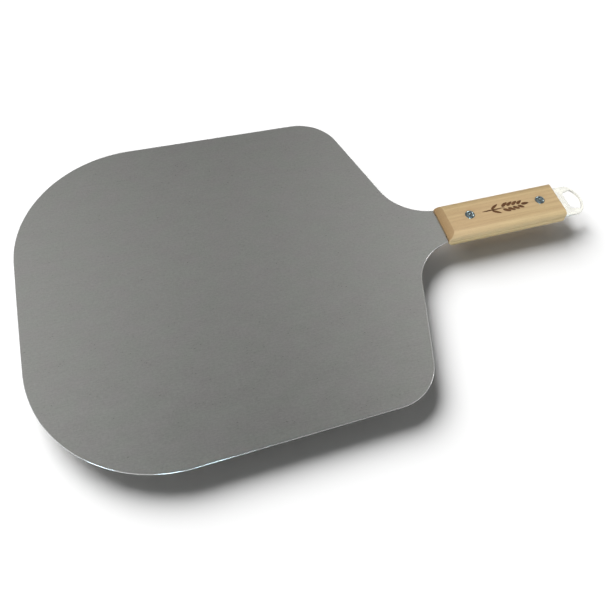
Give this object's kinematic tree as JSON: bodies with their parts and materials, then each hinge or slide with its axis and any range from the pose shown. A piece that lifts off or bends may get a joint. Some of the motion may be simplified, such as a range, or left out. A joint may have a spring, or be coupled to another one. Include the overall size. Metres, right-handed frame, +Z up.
{
  "type": "pizza peel",
  "caption": "Flat aluminium pizza peel with rounded blade corners, a short two-sided wooden handle and an open hanging plate at its end.",
  "frame": {"origin": "centre of the baking area on the blade's top face, half the blade's width behind its front edge", "axes": "+X along the peel from the blade to the handle, +Y across the blade, +Z up out of the blade's top face"},
  "size_m": [0.5578, 0.3556, 0.0205],
  "materials": {
    "blade_aluminium": "brushed",
    "plate_steel": "bright satin",
    "handle_wood": "sanded beech, lightly oiled",
    "fastener_zinc": "bright zinc plate"
  },
  "bodies": {
    "root": {"blade": "blade_aluminium", "hanger_plate": "plate_steel", "upper_scale": "handle_wood", "lower_scale": "handle_wood", "front_screw": "fastener_zinc", "rear_screw": "fastener_zinc", "front_barrel_nut": "fastener_zinc", "rear_barrel_nut": "fastener_zinc"}
  },
  "joints": []
}
